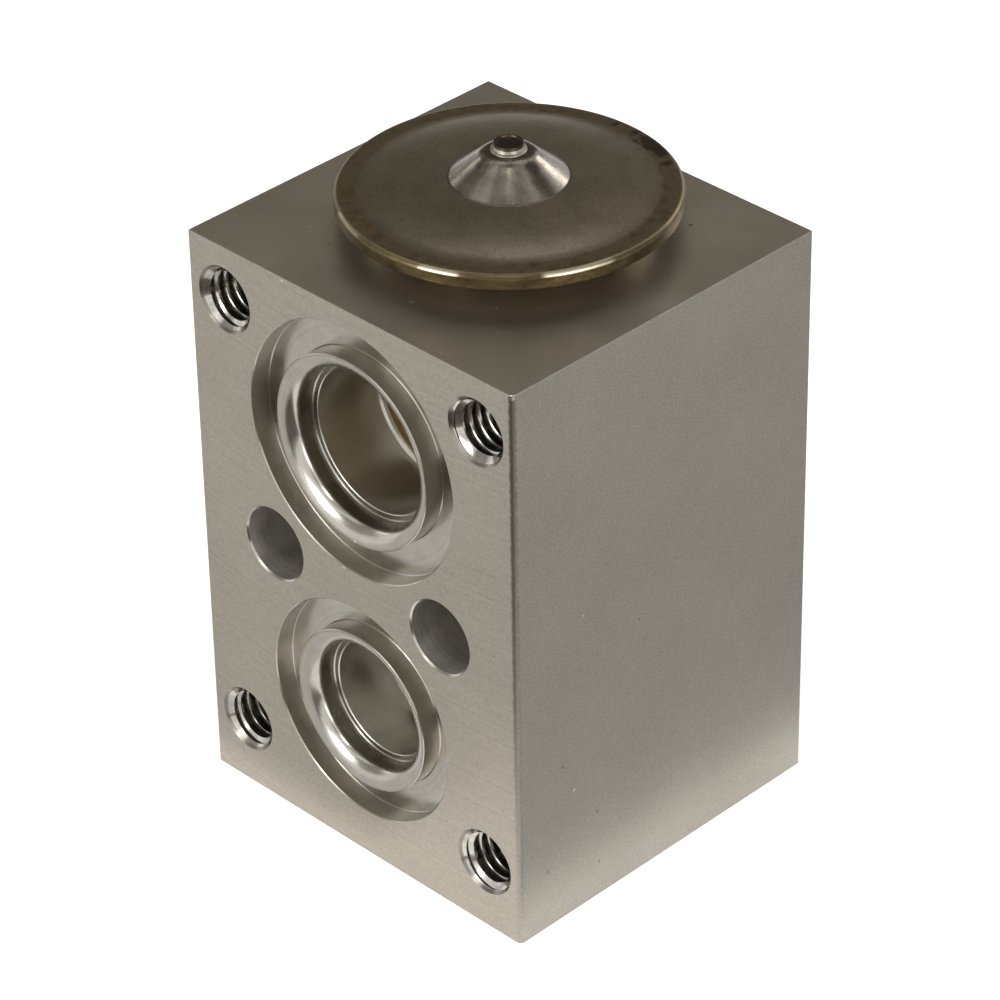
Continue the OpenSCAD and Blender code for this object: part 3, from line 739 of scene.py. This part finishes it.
# The upper cover is stamped from stainless sheet, domed, with a cone in the middle, and its edge
# is rolled down over the lower cover. The weld's heat has left a brown band inside the rim.
def tinted_cover():
    material, place = finish_start("tinted_cover")
    away = from_axis(place, (*VALVE_AXIS, 0), (1, 1, 0))
    share = away / 16.0  # ramps run from 0 to 1, so radii are given in shares of 16 mm
    x, y = coordinate(place, "X") / away, (coordinate(place, "Y") - AXIS_Y) / away
    cloud = grain(place, 0.25, 4.0)
    patch = grain(place, 0.7, 5.0, 0.65)
    fine = grain(place, 4.5, 4.0, 0.8)

    # The cone is streaked up and down its slope and darker towards the plug, and a line of painted
    # shade lies round its foot.
    base = shades(cloud * 0.35 + fine * 0.65, (0.358, 0.305, 0.238), 0.46)
    cone = ramp(share, (0.328, 1.0), (0.336, 0.0))
    streaks = grain(place.node("ShaderNodeCombineXYZ", {"X": x, "Y": y}), 3.0, 2.0)
    dull = shades(patch * 0.55 + streaks * 0.25 + fine * 0.2, (0.205, 0.18, 0.15), 1.0)
    slope = ramp(share, (0.18, 0.0), (0.30, 0.40))
    dull = blend_colour(slope, dull, (0.265, 0.243, 0.206, 1))
    base = blend_colour(cone, base, dull)
    # Painted shade: a dark line round the cone's foot.
    crease_shade = ramp(share, (0.325, 0.0), (0.334, 0.75), (0.343, 0.0))
    base = blend_colour(crease_shade, base, (0.04, 0.03, 0.02, 1))

    # The heat has browned the outer dome and, more deeply, the rolled rim.
    inner = ramp((away + (patch - 0.5) * 0.5) / 16.0, (0.826, 0.0), (0.846, 1.0))
    brown = shades(patch * 0.5 + fine * 0.5, (0.298, 0.236, 0.155), 0.50)
    colour = blend_colour(inner, base, brown)
    # Painted shade darkens the dome towards its front, inside the brown band.
    front = ramp(coordinate(place, "Y") / 32 + 0.5, (0.2, 0.26), (0.5, 0.0)) * (1 - inner)
    colour = blend_colour(front, colour, (0.05, 0.04, 0.03, 1))
    band = ramp(share, (0.935, 0.0), (0.955, 1.0))
    streak = grain(stretch(place, 0.5, 0.5, 1.5), 0.9, 5.0, 0.7)
    roll = band * ramp(coordinate(place, "Z") - 61.0, (0.68, 0.0), (0.80, 1.0))
    colour = blend_colour(band, colour, shades(streak, (0.122, 0.093, 0.048), 0.65))

    # Scorched and rusty patches lie in the brown band, and black stains at the back.
    scorch = marks(place, (
        (13.2, 5.4, 62.1, 0.9), (16.0, 3.2, 62.1, 1.0), (11.0, -6.9, 62.1, 0.7),
        (12.6, -6.3, 62.1, 0.8), (-9.3, -9.5, 62.1, 1.1), (-6.2, -11.0, 62.1, 0.9),
        (-2.2, -12.8, 62.1, 0.9), (-5.4, 3.0, 62.9, 0.8),
    ), patch)
    rust = larger(ramp(patch, (0.52, 0.0), (0.60, 1.0)) * inner * (1 - band), scorch)
    colour = blend_colour(rust * 0.45, colour, (0.11, 0.065, 0.03, 1))
    wobble = grain(place, 1.6, 5.0, 0.75) * 2.4 - 1.1
    stain = marks(place, (
        (3.05, 15.4, 62.1, 0.9), (4.1, 14.9, 62.1, 1.0), (5.1, 14.9, 62.1, 0.9),
        (5.9, 14.6, 62.1, 0.8), (7.3, 13.7, 62.1, 0.75), (2.6, 14.6, 62.1, 0.3),
        (1.5, 15.7, 62.1, 0.6), (-0.9, 15.7, 62.1, 0.5),
    ), wobble)
    colour = blend_colour(stain * 0.92, colour, (0.028, 0.016, 0.008, 1))

    # Painted highlights lie along three arcs of the roll and painted shade along one, each given
    # by its bearing and half width in degrees and its strength.
    arcs = []
    for bearing, half, most in ((-69, 7, 1.0), (-22, 13, 1.0), (-112, 9, 0.35), (-47, 14, 0.7)):
        angle, edge = math.radians(bearing), math.cos(math.radians(half))
        along = x * math.cos(angle) + y * math.sin(angle) + (patch - 0.5) * 0.01
        arcs.append(ramp(along, (edge, 0.0), (0.3 + edge * 0.7, most)) * roll)
    *highlight_arcs, shade_arc = arcs
    # Two bright dots, on the rim and on the cone, are painted highlights too.
    painted_highlights = marks(place, ((15.2, 5.5, 62.0, 0.25), (0.9, 3.8, 64.6, 0.35)), fine)
    for highlight_arc in highlight_arcs:
        painted_highlights = larger(painted_highlights, highlight_arc)
    colour = blend_colour(shade_arc, colour, (0.035, 0.026, 0.014, 1))
    colour = blend_colour(painted_highlights * 0.7, colour, (0.68, 0.60, 0.46, 1))
    rough = 0.24 + fine * 0.10 + stain * 0.3 - cone * 0.07 + (roll - painted_highlights) * 0.16
    height = fine * 0.5 + patch * 0.5 + stain * 0.5 - painted_highlights
    return finish_end(material, colour, rough, 1.0, height, 0.008)


def arc(cx, cz, r, start, end, count):
    """Points of an arc, with its angles in degrees."""
    angles = [math.radians(start + (end - start) * i / count) for i in range(count + 1)]
    return [(cx + r * math.cos(a), cz + r * math.sin(a)) for a in angles]


finishes["cover"] = tinted_cover()
SHEET, SHOULDER_R = 0.6, 1.6
CONE_TOP, CONE_RISE, CONE_FOOT_R, CONE_SLOPE = 65.7, 2.57, 5.35, 39.6
DOME_R, DOME_TOP, DOME_FALL, EASE_R, EASE_FALL = 5.5, 63.125, 0.8, 12.4, 0.2087
corner_r = CONE_FOOT_R - CONE_RISE / math.tan(math.radians(CONE_SLOPE))
shoulder_x = corner_r - math.tan(math.radians(CONE_SLOPE / 2)) * SHOULDER_R
shoulder = arc(shoulder_x, CONE_TOP - SHOULDER_R, SHOULDER_R, 90, 90 - CONE_SLOPE, 10)
foot = [(5.25, 63.21), (CONE_FOOT_R, 63.15), (DOME_R, DOME_TOP)]
dome = [(DOME_R + (EASE_R - DOME_R) * i / 10, DOME_TOP - DOME_FALL * (i / 10) ** 2)
        for i in range(1, 11)]
ease = [(EASE_R + 1.8 * i / 8, DOME_TOP - DOME_FALL - EASE_FALL * (1 - (1 - i / 8) ** 2))
        for i in range(1, 9)]
outside = [(0.99, CONE_TOP)] + shoulder + foot + dome + ease
inside = [(r, z - SHEET) for r, z in reversed(outside)]
rim = arc(14.9, 61.6, 0.5, 88, 0, 10)
rim += [(15.4, 60.78), (15.32, 60.7), (14.92, 60.7), (14.92, 61.5)]
cover = turned("cover", outside + rim + inside + [outside[0]], VALVE_AXIS, 256)
coat(cover, finishes["cover"])
bpy.ops.object.shade_smooth_by_angle(angle=math.radians(30))
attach(cover, "valve_body")
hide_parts("upper_cover")

# The lower cover is stamped from the same sheet. Its flange lies inside the rolled rim, and its
# neck is screwed into the block. Its inner land stops the plate at full stroke, 0.01 mm short.
under = turned("under_cover", [
    (6.9, 52.2), (7.9, 52.2), (8.0, 52.4), (8.0, 58.2),  # neck
    (10.4, 58.2), (10.6, 58.3), (12.5, 60.6), (12.65, 60.7),  # dish, from below
    (14.88, 60.7), (14.88, 61.3), (12.3, 61.3), (12.15, 61.2),  # flange
    (10.2, 58.9), (10.0, 58.79), (6.9, 58.79), (6.9, 52.2),  # dish from above, and the land
], VALVE_AXIS, 128)
coat(under, finishes["cover"])
bpy.ops.object.shade_smooth_by_angle(angle=math.radians(30))
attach(under, "valve_body")
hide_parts("lower_cover")


# The fill plug is a small steel button with a pit in its head. It closes the hole through which
# the power head was charged, and a weld collar holds it on the cone.
def dull_plug():
    material, place = finish_start("dull_plug")
    cloud = grain(place, 2.2, 5.0, 0.7)
    away = from_axis(place, (*VALVE_AXIS, 0), (1, 1, 0))
    top = ramp(coordinate(place, "Z") - 66.0, (0.2, 0.0), (0.25, 1.0))
    pit = ramp(away, (1.05, 1.0), (1.15, 0.0)) * top
    side = shades(cloud, (0.36, 0.33, 0.28), 0.4)
    colour = blend_colour(top, side, shades(cloud, (0.24, 0.21, 0.17), 0.5))
    colour = blend_colour(pit, colour, shades(cloud, (0.06, 0.045, 0.03), 0.6))
    return finish_end(material, colour, 0.30 + cloud * 0.1, 1.0, cloud, 0.04)


finishes["plug"] = dull_plug()
plug = turned("plug", [
    (0, 64.8), (0.97, 64.8), (0.97, 65.7),  # stem, in the cone's hole
    (1.55, 65.7), (1.62, 65.77), (1.60, 65.86), (1.5, 65.92), (1.40, 65.95),  # weld collar
    (1.37, 66.0), (1.37, 66.42), (1.32, 66.49), (1.25, 66.5), (1.19, 66.48),  # head
    (1.13, 66.36), (1.0, 66.31), (0, 66.30),  # pit
], VALVE_AXIS, 96)
coat(plug, finishes["plug"])
bpy.ops.object.shade_smooth_by_angle(angle=math.radians(40))
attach(plug, "valve_body")
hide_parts("fill_plug")


# The diaphragm is a thin steel disc, clamped at its edge between the covers. Its middle lies over
# the stop plate below it.
def spring_steel():
    material, place = finish_start("spring_steel")
    cloud = grain(place, 1.0, 4.0)
    colour = shades(cloud, (0.48, 0.475, 0.47), 0.15)
    return finish_end(material, colour, 0.28 + cloud * 0.1, 1.0, cloud)


def soft_step(r0, z0, r1, z1, count):
    """Points of a soft step from one radius and height to another."""
    return [
        (r0 + (r1 - r0) * i / count, z0 + (z1 - z0) * (1 - math.cos(math.pi * i / count)) / 2)
        for i in range(count + 1)
    ]


finishes["spring"] = spring_steel()
DISC_T, DISC_R, DISC_MIDDLE, DISC_EDGE = 0.2, 14.88, 60.8, 61.5
slope = soft_step(9.0, DISC_MIDDLE, 12.2, DISC_EDGE, 20)
upper = [(0, DISC_MIDDLE)] + slope + [(DISC_R, DISC_EDGE)]
lower = [(r, z - DISC_T) for r, z in reversed(upper)]
disc = turned("disc", upper + lower, VALVE_AXIS, 128)
coat(disc, finishes["spring"])
bpy.ops.object.shade_smooth_by_angle(angle=math.radians(30))
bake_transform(disc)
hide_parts("diaphragm")


# The bias spring is wound from round wire with closed end turns. It sits in the adjusting screw
# and pushes the carrier up, and it moves with the valve train.
def helix(name, radius, wire, turns, low, high, steps=48):
    """A compression spring about the valve's axis, with its end turns laid flat."""
    closed = 0.9  # of a turn at either end
    points = []
    for i in range(int(steps * turns) + 1):
        t = i / steps
        if t < closed:
            z = low + wire / 2 + wire / 2 * t / closed
        elif t > turns - closed:
            z = high - wire / 2 - wire / 2 * (turns - t) / closed
        else:
            z = low + wire + (high - low - 2 * wire) * (t - closed) / (turns - 2 * closed)
        angle = math.tau * t
        points.append((radius * math.cos(angle), AXIS_Y + radius * math.sin(angle), z))
    curve = bpy.data.curves.new(name, "CURVE")
    curve.dimensions = "3D"
    curve.bevel_depth = wire / 2 * MM
    curve.bevel_resolution = 3
    curve.use_fill_caps = True
    line = curve.splines.new("POLY")
    line.points.add(len(points) - 1)
    for knot, (x, y, z) in zip(line.points, points):
        knot.co = (x * MM, y * MM, z * MM, 1)
    obj = bpy.data.objects.new(name, curve)
    bpy.context.collection.objects.link(obj)
    pick(obj)
    bpy.ops.object.convert(target="MESH")
    return bpy.context.object


coil = helix("coil", radius=2.95, wire=0.8, turns=5.5, low=3.6, high=10.475)
coat(coil, finishes["spring"])
bpy.ops.object.shade_smooth_by_angle(angle=math.radians(50))
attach(coil, "valve_train")
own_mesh(coil)
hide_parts("bias_spring")


# The other pieces inside keep their solids: turned steel and brass, an aluminium rod with its
# nylon sleeve and washer, and black rubber seals.
def plain_finish(name, colour, roughness, metallic, scale=1.0, relief=0.01):
    material, place = finish_start(name)
    cloud = grain(place, scale, 5.0)
    colour = shades(cloud, colour, 0.18)
    return finish_end(material, colour, roughness + cloud * 0.1, metallic, cloud, relief)


steel = plain_finish("turned_steel", (0.47, 0.46, 0.45), 0.22, 1.0)
bright = plain_finish("ball_steel", (0.62, 0.62, 0.63), 0.06, 1.0, 0.6, 0.002)
rod = plain_finish("rod_aluminium", (0.53, 0.51, 0.46), 0.28, 1.0)
brass = plain_finish("turned_brass", (0.57, 0.43, 0.19), 0.26, 1.0)
rubber = plain_finish("seal_rubber", (0.016, 0.0155, 0.015), 0.55, 0.0, 2.0, 0.02)
nylon = plain_finish("nylon", (0.71, 0.68, 0.60), 0.42, 0.0, 0.8)
for name, paint in (
    ("head_seal", rubber), ("rod_seal", rubber), ("screw_seal", rubber), ("stop_plate", steel),
    ("push_pin", steel), ("seat_ring", steel), ("retaining_ring", finishes["spring"]),
    ("vibration_spring", finishes["spring"]), ("valve_ball", bright), ("sensing_rod", rod),
    ("ball_carrier", brass), ("adjusting_screw", brass), ("damping_sleeve", nylon),
    ("seal_washer", nylon),
):
    coat(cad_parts[name], paint)
